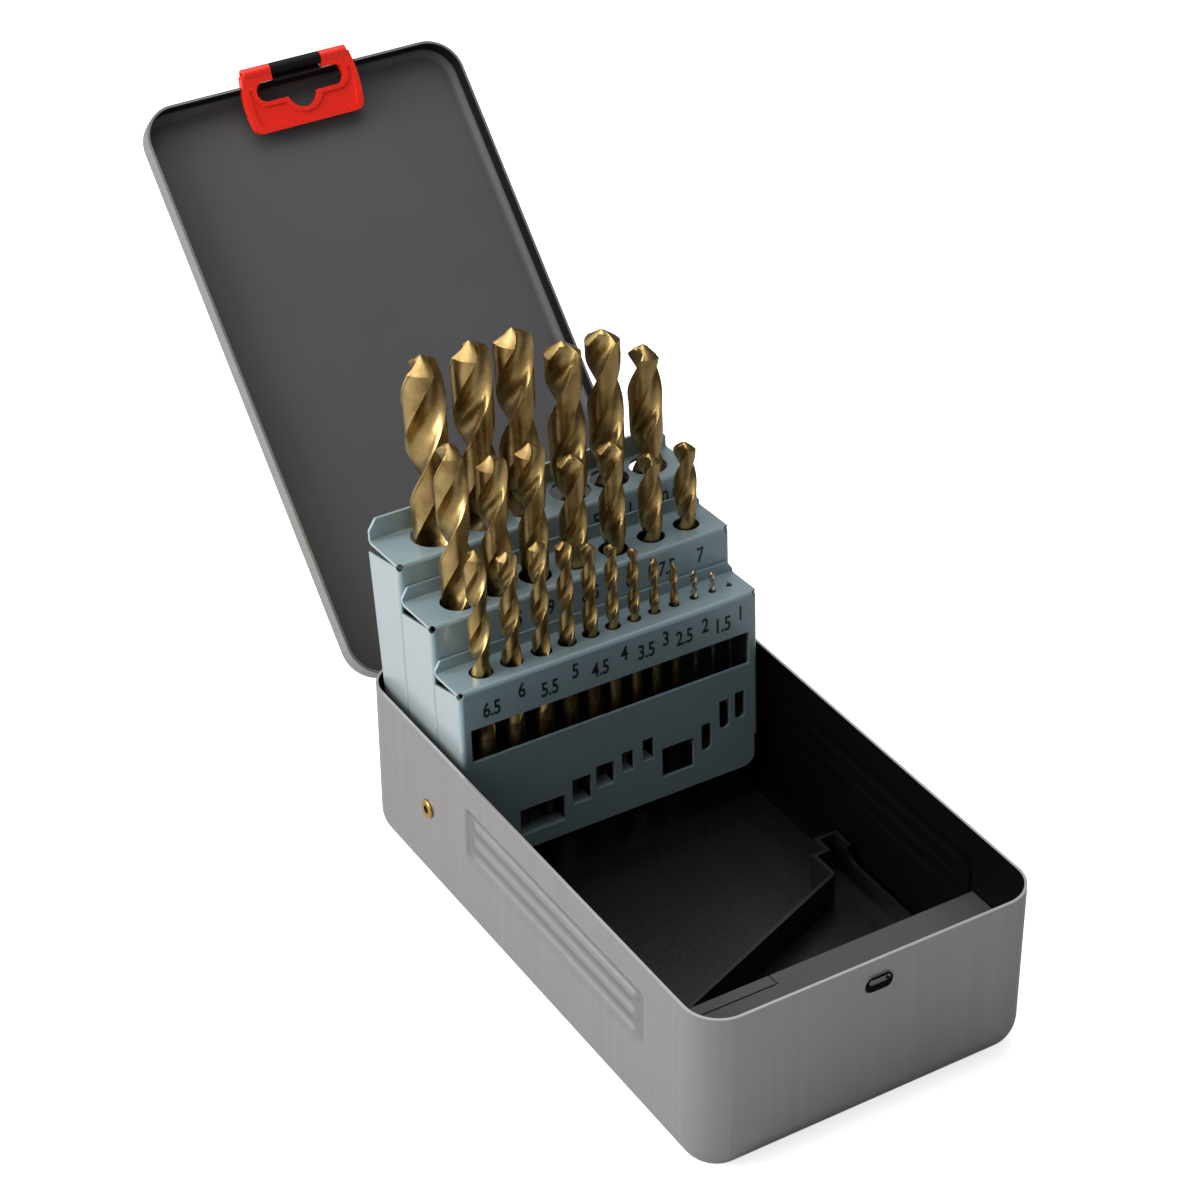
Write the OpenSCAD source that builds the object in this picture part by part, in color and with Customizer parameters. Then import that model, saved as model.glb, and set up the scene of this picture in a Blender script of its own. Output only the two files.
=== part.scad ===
// Metal drill bit case: a pressed steel base and hinged lid with a snap latch, a folding
// three-step rack on two tubular rivets, a moulded liner and twenty-five twist drill bits.
// Origin at the centre of the base's underside. +Z up, -Y towards the latch, +X to the right.
// The lid stands open and the rack stands up, leaning back a little, as when in use.

/* [Case] */
// Outside width of the case
case_w = 110; // [106:1:124]
// Outside length of the case, front to back
case_l = 188.5; // [186:0.5:204]
// Height of the base, up to its rim
base_h = 56.7; // [55:0.1:62]
// Radius of the four upright corners
corner_r = 11.2; // [11.1:0.1:18]
// Radius round the bottom edge of the base
base_edge_r = 10.4; // [8:0.1:11]
// Height of the lid
lid_h = 8.5; // [8.5:0.1:14]
// Radius round the top edge of the lid
lid_edge_r = 3; // [2:0.1:4]
// Sheet thickness of base and lid
sheet = 0.8; // [0.6:0.1:1]
// Gap between the two rims when the lid is shut
rim_gap = 0.3; // [0.2:0.1:0.6]
// How far the lid stands open, in degrees
lid_open = 135; // [120:1:140]

/* [Hinge] */
// Distance of the rolled hinge's ends from the sides of the case
hinge_margin = 17; // [16:0.5:25]
// Wire diameter of the hinge pin
hinge_pin_d = 2; // [1.6:0.1:2.2]
// Depth of the hinge axis below the rim of the base
hinge_drop = 2.3; // [2.1:0.1:2.6]
// Wall of a rolled knuckle
knuckle_wall = 0.65; // [0.5:0.05:0.7]
// Gap between one knuckle and the next
knuckle_gap = 0.4; // [0.3:0.1:0.8]

/* [Grip panels and catch] */
// Length of the embossed panel in each side wall
grip_l = 95; // [70:1:100]
// Height of the embossed panel
grip_h = 18; // [14:1:24]
// How deep the panel's grooves are pressed in
grip_depth = 0.6; // [0.4:0.1:0.8]
// Number of long ribs between the grooves
grip_ribs = 3; // [2:1:4]
// Width of the catch pressed out of the front wall
catch_w = 10; // [8:0.5:12]
// Height of the catch
catch_h = 6; // [5:0.5:7]
// How far the catch stands out
catch_out = 1; // [0.6:0.1:1.2]

/* [Latch] */
// Widest part of the latch
latch_w = 39.5; // [36:0.5:44]
// Length of the latch below its pivot
latch_l = 19; // [18:0.5:22]
// Thickness of the latch
latch_t = 2.8; // [2.4:0.1:3]
// Diameter of the latch's pivot lugs and of the lid's rolled tab
lug_d = 4; // [3.8:0.1:4.4]
// Length of the rolled tab on the lid
tab_l = 17; // [14:1:20]
// Wire diameter of the latch pin
latch_pin_d = 2.2; // [1.8:0.1:2.2]
// Distance of the latch's pivot out from the front wall
latch_out = 3.3; // [3.2:0.1:4]
// How far the resting latch dips into the lid, in degrees
latch_dip = 14; // [8:1:14]

/* [Rack] */
// Distance of the rack's flanges in from the sides of the case
rack_gap = 4; // [4:0.1:5]
// Sheet thickness of the rack
rack_t = 1; // [0.8:0.1:1.2]
// How far the raised rack leans back, in degrees
rack_lean = 3; // [0:0.5:4]
// Distance of the rack's pivot in from the back of the case
pivot_back = 38.65; // [38.2:0.05:40]
// Height of the rack's pivot
pivot_z = 31; // [30.6:0.1:32]
// Outside bend radius of the rack's folds
fold_r = 1.6; // [1.3:0.1:2]
// Height of the long window
window_h = 11.3; // [9:0.1:13]
// Depth of the stop tabs, from the front face
tab_reach = 9.6; // [9:0.1:11]
// Extra diameter of the holes in the front shelf
front_slack = 0.8; // [0.6:0.1:1]
// Extra diameter of the holes in the middle shelf
middle_slack = 1; // [0.8:0.1:1.2]
// Extra diameter of the holes in the rear shelf
rear_slack = 1.2; // [1:0.1:1.4]
// How far the rear row of bits leans back from the rack, in degrees
rear_tilt = 1.5; // [1.2:0.1:1.6]

/* [Pivot rivets] */
// Outside diameter of the tubular rivet
rivet_d = 4; // [3.6:0.1:4.2]
// Bore of the tubular rivet
rivet_bore = 2.6; // [2:0.1:2.8]
// Diameter of its rolled heads
rivet_head_d = 6; // [5.6:0.1:7]
// Diameter of the spacer between wall and rack
spacer_d = 8.4; // [7:0.1:8.8]

/* [Liner] */
// Height of the liner's floor
liner_floor_z = 5.5; // [5:0.1:6]
// Wall thickness of the liner
liner_t = 1.2; // [1:0.1:1.6]
// Height of the slanting stop wall above the floor
stop_h = 11.7; // [8:0.1:12]
// Height of the front ledge
ledge_z = 36.5; // [34:0.5:37]
// Depth of the front ledge, front to back
ledge_d = 28; // [20:1:28]

/* [Bits] */
// Point angle of the bits, in degrees
point_angle = 118; // [115:1:135]
// Helix angle of the flutes, in degrees
helix_angle = 30; // [25:1:35]
// Gap between a bit's end and its stop
seat_gap = 0.05; // [0.03:0.01:0.1]

/* [Hidden] */
$fn = 48;
fine = 0.01;
fit = 0.05;

steel_grey = "#8f8d8d";
rack_blue = "#6f8790";
gold = "#b8964a";
liner_black = "#1c1c1d";
latch_red = "#e8231a";
brass = "#c8a04a";

// Case
half_w = case_w / 2;
half_l = case_l / 2;
hinge_l = case_w - 2 * hinge_margin;
rack_w = case_w - 2 * rack_gap;
pivot_y = half_l - pivot_back;
lid_rim_z = base_h + rim_gap;

// Hinge: the axis lies in the middle of the rear wall's thickness
hinge_y = half_l - sheet / 2;
hinge_z = base_h - hinge_drop;
knuckle_r = hinge_pin_d / 2 + fit + knuckle_wall;
knuckles = 5;
knuckle_pitch = hinge_l / knuckles;
notch_clear = 0.35;

// Catch and grip panels
catch_z = base_h - 8;
grip_y = -15.5;
grip_z = 36;

// Latch
latch_axis_y = -(half_l + latch_out);
latch_axis_z = lid_rim_z;
latch_back = latch_t / 2 - 0.1;
latch_notch = latch_back + 1.5;
slot_top = 3.3;
slot_h = 6.3;
slot_w = latch_w - 9;
thumb_r = 5.5;
latch_side_r = 40;
latch_belly = 9;
latch_toe_r = 3;

// Rack, measured from its pivot with the rack upright: back is +, up is +
rack_half = rack_w / 2;
step_front = -16.65;
step_middle = -1.9;
step_rear = 16;
rear_edge_top = 34.6;
rear_edge_low = 27.6;
floor_back = 26.8;
shelf_half = 51;
join_d = 3.4;
join_rise = 0.6;
join_places = [[-9.5, 0], [10, -10], [10, 6], [21, -10], [21, 6]];
shelf_front = 47.2;
shelf_middle = 62.2;
shelf_rear = 73.9;
lip_front = 3.8;
lip_middle = 4.5;
lip_rear = 6.9;
rack_stop = -18.7;
flange_foot = -3.7;
face_foot = -14;
foot_r = 4;
ear_top = 11;
middle_face_foot = ear_top + 1;
rear_face_foot = 30;
pivot_clear_r = 5;

// Bits of the front row: diameters, lengths, flute lengths, places along the shelf and
// the heights of their stops
front_d = [6.5, 6, 5.5, 5, 4.5, 4, 3.5, 3, 2.5, 2, 1.5, 1];
front_len = [101, 93, 93, 86, 80, 75, 70, 61, 57, 49, 40, 34];
front_flute = [63, 57, 57, 52, 47, 43, 39, 33, 30, 24, 18, 12];
front_x = [-39.5, -29.3, -19.3, -10.6, -2.6, 5, 12.4, 19.4, 26.3, 33.3, 39.7, 45.8];
front_stop = [-13, -9, -9, -4.8, -2.2, 0, 1.2, 4.4, 4.4, 7.6, 13.8, 14.8];
front_row_y = -9.2;

// Bits of the middle row
middle_d = [10, 9.5, 9, 8.5, 8, 7.5, 7];
middle_len = [133, 125, 125, 117, 117, 109, 109];
middle_flute = [87, 81, 81, 75, 75, 69, 69];
middle_x = [-37.1, -24, -11.3, 2.2, 15.6, 28.7, 41.1];
middle_row_y = 6.8;

// Bits of the rear row, which leans back from its foot
rear_d = [13, 12.5, 12, 11.5, 11, 10.5];
rear_len = [151, 151, 151, 142, 142, 133];
rear_flute = [101, 101, 101, 94, 94, 87];
rear_x = [-33.6, -17.8, -3.6, 12.6, 26.2, 40];
rear_row_y = 23.5;

// The stops under the front row that open below their window: place, width, stop height
low_windows = [[-25.5, 15.4, -9, 9.2], [-11.9, 6.6, -4.8, 8.9], [-3.7, 6.4, -2.2, 8],
    [4.3, 4.2, 0, 7.2], [11.5, 4, 1.2, 7.8]];
// The stops folded in from the top of their window: place, width, stop height, depth
high_windows = [[21.9, 11.2, 4.4, 10.4], [32.15, 3.6, 7.6, 9.6], [38.7, 3.6, 13.8, 10.4],
    [44.3, 3.6, 14.8, 9.8]];
window_low = 22.6;
window_half = rack_half - 3.2;

// Liner
liner_half_w = half_w - 3.2;
liner_half_l = half_l - 3.2;
liner_r = corner_r - 3.2;
pocket_back = 58.1;
pocket_rear_y = pivot_y - pocket_back;
pocket_front_y = pocket_rear_y - 6;
stop_end = [liner_half_w - 12.3, pocket_rear_y - 16];
stop_slope = 22;
pocket_x = liner_half_w - 7.3;
foot_pitch = liner_half_w / 2.88;
side_lip_z = 12;

// A quarter ring, the section of a fold
module bend(r, t) {
    intersection() {
        difference() {
            circle(r);
            circle(r - t);
        }
        square(r);
    }
}

// Section of a pan's wall from the corner's centre outwards: floor, edge radius and wall
module pan_section(r_corner, r_edge, h, t) {
    translate([0, 0]) square([r_corner - r_edge, t]);
    translate([r_corner - t, r_edge]) square([t, h - r_edge]);
    translate([r_corner - r_edge, r_edge]) mirror([0, 1]) bend(r_edge, t);
}

// A pressed pan with round corners and a round bottom edge
module pan(w, l, h, r_corner, r_edge, t) {
    cx = w / 2 - r_corner;
    cy = l / 2 - r_corner;
    for (i = [0:3])
        translate([(i == 0 || i == 3 ? 1 : -1) * cx, (i < 2 ? 1 : -1) * cy, 0])
            rotate([0, 0, 90 * i])
                rotate_extrude(angle = 90) pan_section(r_corner, r_edge, h, t);
    for (side = [0, 180]) {
        rotate([0, 0, side]) translate([cx, cy, 0]) rotate([90, 0, 0])
            linear_extrude(2 * cy) pan_section(r_corner, r_edge, h, t);
        rotate([0, 0, side]) translate([-cx, cy, 0]) rotate([90, 0, 90])
            linear_extrude(2 * cx) pan_section(r_corner, r_edge, h, t);
    }
    translate([-cx, -cy, 0]) cube([2 * cx, 2 * cy, t]);
}

// A shape with round ends, lying along X
module obround(w, h) {
    r = h / 2;
    square([w - h, h], center = true);
    for (side = [-1, 1])
        translate([side * (w / 2 - r), 0]) circle(r);
}

// Rectangle with rounded corners, centred
module round_rect(w, l, r) {
    square([w - 2 * r, l], center = true);
    square([w, l - 2 * r], center = true);
    for (x = [-1, 1], y = [-1, 1])
        translate([x * (w / 2 - r), y * (l / 2 - r)]) circle(r);
}

// Knuckles of the hinge with their bores: the even ones on the base, the odd ones on the lid
module knuckle_set(first, flat_up) {
    for (i = [first:2:knuckles - 1])
        translate([-hinge_l / 2 + i * knuckle_pitch + knuckle_gap / 2, hinge_y, hinge_z]) {
            rotate([0, 90, 0]) cylinder(r = knuckle_r, h = knuckle_pitch - knuckle_gap);
            translate([0, -sheet / 2, flat_up ? 0 : -hinge_drop - 1])
                cube([knuckle_pitch - knuckle_gap, sheet,
                    flat_up ? lid_rim_z - hinge_z + 1 : hinge_drop + 1]);
        }
}

module hinge_bore() {
    translate([-hinge_l, hinge_y, hinge_z]) rotate([0, 90, 0])
        cylinder(r = hinge_pin_d / 2 + fit, h = 2 * hinge_l);
}

// Opens the lid about the hinge: what is drawn with the lid shut swings to its raised place
module lid_pose() {
    translate([0, hinge_y, hinge_z]) rotate([-lid_open, 0, 0])
        translate([0, -hinge_y, -hinge_z]) children();
}

// Stands the rack up about its pivot
module rack_pose() {
    translate([0, pivot_y, pivot_z]) rotate([-rack_lean, 0, 0]) children();
}

module side_pair() {
    children();
    mirror([1, 0, 0]) children();
}

// A rod with ball ends, standing on the first ball's centre
module capsule(r, l) {
    cylinder(r = r, h = l);
    sphere(r = r);
    translate([0, 0, l]) sphere(r = r);
}

// Embossed finger panel: long shallow grooves with ribs between them, and an upright groove
// across their rear ends
module grip_grooves() {
    pitch = grip_h / (grip_ribs + 1);
    reach = pitch / 2 - 0.15;
    r = (reach * reach + grip_depth * grip_depth) / (2 * grip_depth);
    translate([half_w + r - grip_depth, grip_y, grip_z]) {
        for (i = [0:grip_ribs])
            translate([0, -grip_l / 2 + reach, (i - grip_ribs / 2) * pitch])
                rotate([-90, 0, 0]) capsule(r, grip_l - 2 * reach);
        translate([0, grip_l / 2 - reach, (pitch - grip_h) / 2]) capsule(r, grip_h - pitch);
    }
}

module base_shell() {
    color(steel_grey) difference() {
        union() {
            difference() {
                pan(case_w, case_l, base_h, corner_r, base_edge_r, sheet);
                translate([-hinge_l / 2 - notch_clear, half_l - 2 * sheet,
                    hinge_z - knuckle_r - notch_clear])
                    cube([hinge_l + 2 * notch_clear, 3 * sheet, base_h]);
            }
            knuckle_set(0, false);
            side_pair() translate([half_w - sheet - grip_depth, 0, 0]) grip_backing();
            translate([0, -half_l + fine, catch_z]) rotate([90, 0, 0])
                catch_bump();
        }
        hinge_bore();
        side_pair() grip_grooves();
        catch_mouth();
        side_pair() translate([half_w - 2 * sheet, pivot_y, pivot_z]) rotate([0, 90, 0])
            cylinder(r = rivet_d / 2 + fit, h = 4 * sheet);
    }
}

// Wall metal behind the pressed panel
module grip_backing() {
    translate([0, grip_y, grip_z]) rotate([0, 90, 0])
        linear_extrude(grip_depth + sheet / 2) round_rect(grip_h + 1.2, grip_l + 1.2, 3.6);
}

// The catch: an oblong pressed out of the front wall, cut open along its upper side
module catch_bump() {
    for (side = [-1, 1])
        translate([side * (catch_w - catch_h) / 2, 0, 0])
            cylinder(r1 = catch_h / 2, r2 = catch_h / 2 - catch_out, h = catch_out);
    rotate([90, 0, 90]) translate([0, 0, -(catch_w - catch_h) / 2])
        linear_extrude(catch_w - catch_h)
            polygon([[-catch_h / 2, 0], [catch_h / 2, 0],
                [catch_h / 2 - catch_out, catch_out], [-catch_h / 2 + catch_out, catch_out]]);
}

module catch_mouth() {
    translate([0, -half_l - 2 * catch_out, catch_z + 0.9]) rotate([-90, 0, 0])
        linear_extrude(2 * catch_out + 2 * sheet) obround(catch_w - 2.6, 2.4);
}

// A straight upright wall of the liner between two points of its plan
module liner_wall(a, b, z0, z1) {
    run = b - a;
    translate([a[0], a[1], z0]) rotate([0, 0, atan2(run[1], run[0])])
        translate([0, -liner_t / 2, 0]) cube([norm(run), liner_t, z1 - z0]);
}

module base_liner() {
    stop_z = liner_floor_z + stop_h;
    floor_z = liner_floor_z - liner_t;
    stop_run = (liner_half_w - 1 + stop_end[0]) / cos(stop_slope);
    stop_start = stop_end - stop_run * [cos(stop_slope), sin(stop_slope)];
    ledge_y = -(half_l - sheet - 0.3);
    ledge_half = half_w - sheet - 0.3;
    side_x = liner_half_w - liner_t / 2;
    color(liner_black) difference() {
        union() {
            translate([0, 0, floor_z]) linear_extrude(liner_t)
                round_rect(2 * liner_half_w, 2 * liner_half_l, liner_r);
            liner_wall(stop_start, stop_end, floor_z, stop_z);
            liner_wall(stop_end, [stop_end[0], pocket_front_y], floor_z, stop_z);
            liner_wall([stop_end[0] - liner_t / 2, pocket_front_y],
                [pocket_x, pocket_front_y], floor_z, stop_z);
            liner_wall([pocket_x, pocket_front_y - liner_t / 2],
                [pocket_x, pocket_rear_y], floor_z, stop_z);
            liner_wall([pocket_x - liner_t / 2, pocket_rear_y],
                [liner_half_w, pocket_rear_y], floor_z, stop_z);
            side_wall(side_x, pocket_rear_y, pocket_front_y - 1.5, floor_z, stop_z);
            side_wall(side_x, pocket_front_y - 0.5, ledge_y + ledge_d, floor_z, side_lip_z);
            side_curve(side_x, pocket_front_y - 0.5, stop_z);
            ledge(ledge_y, ledge_half);
            for (i = [-2:2])
                translate([i * foot_pitch - liner_t / 2, -liner_half_l + liner_r, sheet])
                    cube([liner_t, 2 * (liner_half_l - liner_r), floor_z - sheet + fine]);
        }
        translate([-ledge_half - 1, ledge_y + ledge_d - 4.3, ledge_z - 0.4])
            cube([ledge_half - 14, 0.5, 1]);
        translate([-15.5, ledge_y + ledge_d - 4.3, ledge_z - 0.4]) cube([0.5, 5, 1]);
    }
}

module side_wall(x, y0, y1, z0, z1) {
    liner_wall([x, y0], [x, y1], z0, z1);
}

// The side wall's edge drops from the pocket to the low lip in a round shoulder
module side_curve(x, y, top) {
    drop = top - side_lip_z;
    translate([x - liner_t / 2, y, side_lip_z]) rotate([90, 0, 90])
        linear_extrude(liner_t) mirror([1, 0]) difference() {
            square(drop);
            translate([drop, drop]) circle(drop);
        }
}

// The raised front ledge with the wall that carries it
module ledge(front_y, half) {
    r = corner_r - sheet - 0.3;
    translate([0, 0, ledge_z - liner_t]) linear_extrude(liner_t) intersection() {
        round_rect(2 * half, -2 * front_y, r);
        translate([-half, front_y]) square([2 * half, ledge_d]);
    }
    liner_wall([-half + 3.2, front_y + ledge_d - liner_t / 2],
        [half - 3.2, front_y + ledge_d - liner_t / 2],
        liner_floor_z - liner_t, ledge_z);
}

module lid_shell() {
    tab_z = latch_axis_z + lug_d / 2 - sheet;
    color(steel_grey) lid_pose() difference() {
        union() {
            translate([0, 0, lid_rim_z + lid_h]) mirror([0, 0, 1])
                pan(case_w, case_l, lid_h, corner_r, lid_edge_r, sheet);
            knuckle_set(1, true);
            translate([-tab_l / 2, latch_axis_y, latch_axis_z]) rotate([0, 90, 0])
                cylinder(d = lug_d, h = tab_l);
            translate([-tab_l / 2, latch_axis_y, tab_z])
                cube([tab_l, latch_out + sheet / 2, sheet]);
        }
        hinge_bore();
        latch_bore(tab_l);
        side_pair() translate([tab_l / 2 + fit, -half_l - 1, lid_rim_z - 1])
            cube([latch_w / 2 - tab_l / 2 - fit, 1 + 2 * sheet, latch_notch + 1]);
    }
}

module latch_bore(l) {
    translate([-l, latch_axis_y, latch_axis_z]) rotate([0, 90, 0])
        cylinder(r = latch_pin_d / 2 + fit, h = 2 * l);
}

module hinge_pin() {
    color(steel_grey) translate([-hinge_l / 2 + knuckle_gap / 2, hinge_y, hinge_z])
        rotate([0, 90, 0]) cylinder(d = hinge_pin_d, h = hinge_l - knuckle_gap);
}

module latch_pin() {
    color(steel_grey) lid_pose() translate([-latch_w / 2 + 5, latch_axis_y, latch_axis_z])
        rotate([0, 90, 0]) cylinder(d = latch_pin_d, h = latch_w - 10);
}

// Outline of the latch below its pivot, drawn in the plane of the plate: bowed sides that
// run into round lower corners
module latch_outline(inset) {
    side_shift = latch_w / 2 - latch_side_r;
    toe_r = latch_toe_r - inset;
    toe_y = latch_toe_r - latch_l;
    arm = latch_side_r - latch_toe_r;
    rise = toe_y + latch_belly;
    toe_x = side_shift + sqrt(arm * arm - rise * rise);
    turn_y = toe_y + toe_r * rise / arm;
    intersection() {
        translate([side_shift, -latch_belly]) circle(latch_side_r - inset, $fn = 96);
        translate([-side_shift, -latch_belly]) circle(latch_side_r - inset, $fn = 96);
        translate([-latch_w / 2, turn_y]) square([latch_w, -turn_y]);
    }
    translate([-toe_x, inset - latch_l]) square([2 * toe_x, latch_l - inset + turn_y + fine]);
    side_pair_2d() translate([toe_x, toe_y]) circle(toe_r);
}

module latch_slot(grow) {
    translate([0, -slot_top - slot_h / 2]) obround(slot_w + 2 * grow, slot_h + 2 * grow);
    translate([0, -slot_top - slot_h + 1.2]) circle(thumb_r + grow);
}

// Turns the latch about its pivot, from hanging down the front wall to lying in the lid
module latch_pose() {
    translate([0, latch_axis_y, latch_axis_z]) rotate([90 + latch_dip, 0, 0]) children();
}

module latch() {
    lug_l = latch_w / 2 - 1.75 - tab_l / 2 - 0.3;
    color(latch_red) lid_pose() latch_pose() difference() {
        union() {
            rotate([90, 0, 0]) translate([0, 0, -latch_back]) linear_extrude(latch_t)
                difference() {
                    latch_outline(0);
                    latch_slot(0);
                    translate([-tab_l / 2 - 0.3, -slot_top - 1]) square([tab_l + 0.6, 10]);
                }
            side_pair() translate([tab_l / 2 + 0.3, 0, 0]) rotate([0, 90, 0])
                cylinder(d = lug_d, h = lug_l);
        }
        rotate([90, 0, 0]) translate([0, 0, latch_t - latch_back - 0.5]) linear_extrude(1)
            difference() {
                latch_outline(2);
                latch_slot(1.4);
                translate([-latch_w / 2, -slot_top - 2]) square([latch_w, 10]);
            }
        translate([-latch_w, 0, 0]) rotate([0, 90, 0])
            cylinder(r = latch_pin_d / 2 + fit, h = 2 * latch_w);
    }
}

// Tubular rivet through the right wall, spacer and rack ear, its ends rolled over
module pivot_rivet() {
    head_t = 0.7;
    ear_x = rack_half - 2 * rack_t;
    inner = ear_x - fit - head_t;
    color(brass) translate([0, pivot_y, pivot_z]) rotate([0, 90, 0]) difference() {
        union() {
            translate([0, 0, inner]) cylinder(d = rivet_d, h = half_w + head_t - inner);
            translate([0, 0, inner]) rivet_head(head_t);
            translate([0, 0, half_w + head_t + fit]) mirror([0, 0, 1]) rivet_head(head_t);
        }
        translate([0, 0, inner - 1]) cylinder(d = rivet_bore, h = half_w);
    }
}

module rivet_head(t) {
    rotate_extrude() {
        translate([rivet_bore / 2, 0]) square([rivet_head_d / 2 - t / 2 - rivet_bore / 2, t]);
        translate([rivet_head_d / 2 - t / 2, t / 2]) circle(t / 2);
    }
}

module pivot_spacer() {
    ear_x = rack_half - rack_t;
    color(steel_grey) translate([ear_x + fit, pivot_y, pivot_z]) rotate([0, 90, 0])
        difference() {
            cylinder(d = spacer_d, h = half_w - sheet - fit - ear_x - fit);
            translate([0, 0, -1]) cylinder(r = rivet_d / 2 + fit, h = half_w);
        }
}

// Folded section of a step, drawn back and up: face, top fold, shelf, rear fold and lip
module step_section(face_y, foot, top, back_y, lip) {
    translate([face_y, foot]) square([rack_t, top - fold_r - foot]);
    translate([face_y + fold_r, top - fold_r]) mirror([1, 0]) bend(fold_r, rack_t);
    translate([face_y + fold_r, top - rack_t])
        square([back_y - face_y - 2 * fold_r, rack_t]);
    translate([back_y - fold_r, top - rack_t + fold_r]) mirror([0, 1]) bend(fold_r, rack_t);
    translate([back_y - rack_t, top - rack_t + fold_r])
        square([rack_t, lip + rack_t - fold_r]);
}

// Plan of a step's face and side flanges, with the upright folds between them
module step_plan(face_y, back_y) {
    translate([-rack_half + fold_r, face_y]) square([rack_w - 2 * fold_r, rack_t]);
    side_pair_2d() {
        translate([rack_half - fold_r, face_y + fold_r]) mirror([0, 1]) bend(fold_r, rack_t);
        translate([rack_half - rack_t, face_y + fold_r])
            square([rack_t, back_y - face_y - fold_r]);
    }
}

module side_pair_2d() {
    children();
    mirror([1, 0]) children();
}

// One step of the rack: a bent sheet with a face, a shelf with a lip, and two flanges
module step_sheet(face_y, face_foot_z, flange_z, top, back_y, lip, chamfer, edge_top, edge_low) {
    relief = 1.1;
    slope_drop = 2.9;
    difference() {
        union() {
            difference() {
                translate([-rack_half, 0, 0]) rotate([90, 0, 90]) linear_extrude(rack_w)
                    step_section(face_y, face_foot_z, top, back_y, lip);
                side_pair() translate([rack_half, back_y - 3, top + lip]) rotate([-90, 0, 0])
                    linear_extrude(5)
                        polygon([[-chamfer, -1], [1, -1], [1, chamfer * 1.2 + 1],
                            [0, chamfer * 1.2]]);
                side_pair() translate([rack_half - fold_r, face_y - 1, face_foot_z - 1])
                    cube([fold_r + 1, fold_r + 1, top - relief - face_foot_z + 1]);
            }
            intersection() {
                translate([0, 0, flange_z]) linear_extrude(top - relief - flange_z)
                    step_plan(face_y, edge_top);
                translate([-rack_w, 0, 0]) rotate([90, 0, 90]) linear_extrude(2 * rack_w)
                    polygon([[face_y, flange_z], [edge_low, flange_z],
                        [edge_top, top - relief - slope_drop],
                        [face_y + fold_r, top - relief], [face_y, top - relief]]);
            }
        }
        side_pair() translate([rack_half - fold_r / 2, face_y + fold_r / 2, top - relief])
            sphere(r = relief);
    }
}

// A place along a shelf, spread with the rack's width
function place(x) = x * rack_half / shelf_half;

// A shelf hole that clears a bit
module shelf_hole(x, d, slack) {
    translate([x, 0, 0]) cylinder(d = d + slack, h = 4 * rack_t, center = true);
}

module pivot_cut(r) {
    translate([-case_w, 0, 0]) rotate([0, 90, 0]) cylinder(r = r, h = 2 * case_w);
}

module rack_front() {
    back = step_middle - 0.2;
    color(rack_blue) rack_pose() difference() {
        union() {
            step_sheet(step_front, flange_foot, flange_foot, shelf_front, back, lip_front,
                2.3, back, back);
            for (w = low_windows) stop_tab(w[0], w[1], w[2]);
            for (w = high_windows) stop_tab(w[0], w[1], w[2]);
            foot_plate();
        }
        for (i = [0:len(front_d) - 1])
            translate([0, front_row_y, shelf_front])
                shelf_hole(place(front_x[i]), front_d[i], front_slack);
        translate([-window_half, step_front - 1, window_low])
            cube([2 * window_half, rack_t + 2, window_h]);
        for (w = low_windows)
            translate([place(w[0]) - w[1] / 2, step_front - 1, w[2]])
                cube([w[1], rack_t + 1, w[3]]);
        for (w = high_windows) high_window(w);
        pivot_cut(pivot_clear_r);
    }
}

// A stop tab, folded in from the front face
module stop_tab(x, w, top) {
    translate([place(x) - w / 2, step_front, top - rack_t]) cube([w, tab_reach, rack_t]);
}

// A window below its tab, square for the pair and round-bottomed for the single bits
module high_window(w) {
    r = w[1] < 5 ? w[1] / 2 : 0;
    low = w[2] - rack_t - w[3] + r;
    translate([place(w[0]) - w[1] / 2, step_front - 1, low])
        cube([w[1], rack_t + 1, w[3] - r]);
    if (r > 0)
        translate([place(w[0]), step_front - 1, low]) rotate([-90, 0, 0])
            cylinder(r = r, h = rack_t + 1);
}

// The face below the flanges, narrower and with rounded lower corners
module foot_plate() {
    half = rack_half - fold_r;
    translate([0, step_front + rack_t, 0]) rotate([90, 0, 0]) linear_extrude(rack_t) {
        translate([-half, face_foot + foot_r])
            square([2 * half, flange_foot - face_foot - foot_r + 1]);
        translate([-half + foot_r, face_foot]) square([2 * half - 2 * foot_r, foot_r + 1]);
        side_pair_2d() translate([half - foot_r, face_foot + foot_r]) circle(foot_r);
    }
    translate([-half + foot_r, step_front, face_foot])
        cube([2 * half - 2 * foot_r - 4, tab_reach, rack_t]);
}

module rack_middle() {
    back = step_rear - 0.2;
    color(rack_blue) rack_pose() difference() {
        step_sheet(step_middle, middle_face_foot, rack_stop - rack_t, shelf_middle, back,
            lip_middle, 2.6, back, back);
        for (i = [0:len(middle_d) - 1])
            translate([0, middle_row_y, shelf_middle])
                shelf_hole(place(middle_x[i]), middle_d[i], middle_slack);
        open_face(step_middle, middle_face_foot);
        pivot_cut(pivot_clear_r);
    }
}

// Cuts a step's face away below a height, between its flanges
module open_face(face_y, foot) {
    half = rack_half - rack_t;
    translate([-half, face_y - 1, rack_stop - 2 * rack_t])
        cube([2 * half, fold_r + 1.2, foot - rack_stop + 2 * rack_t]);
}

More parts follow.
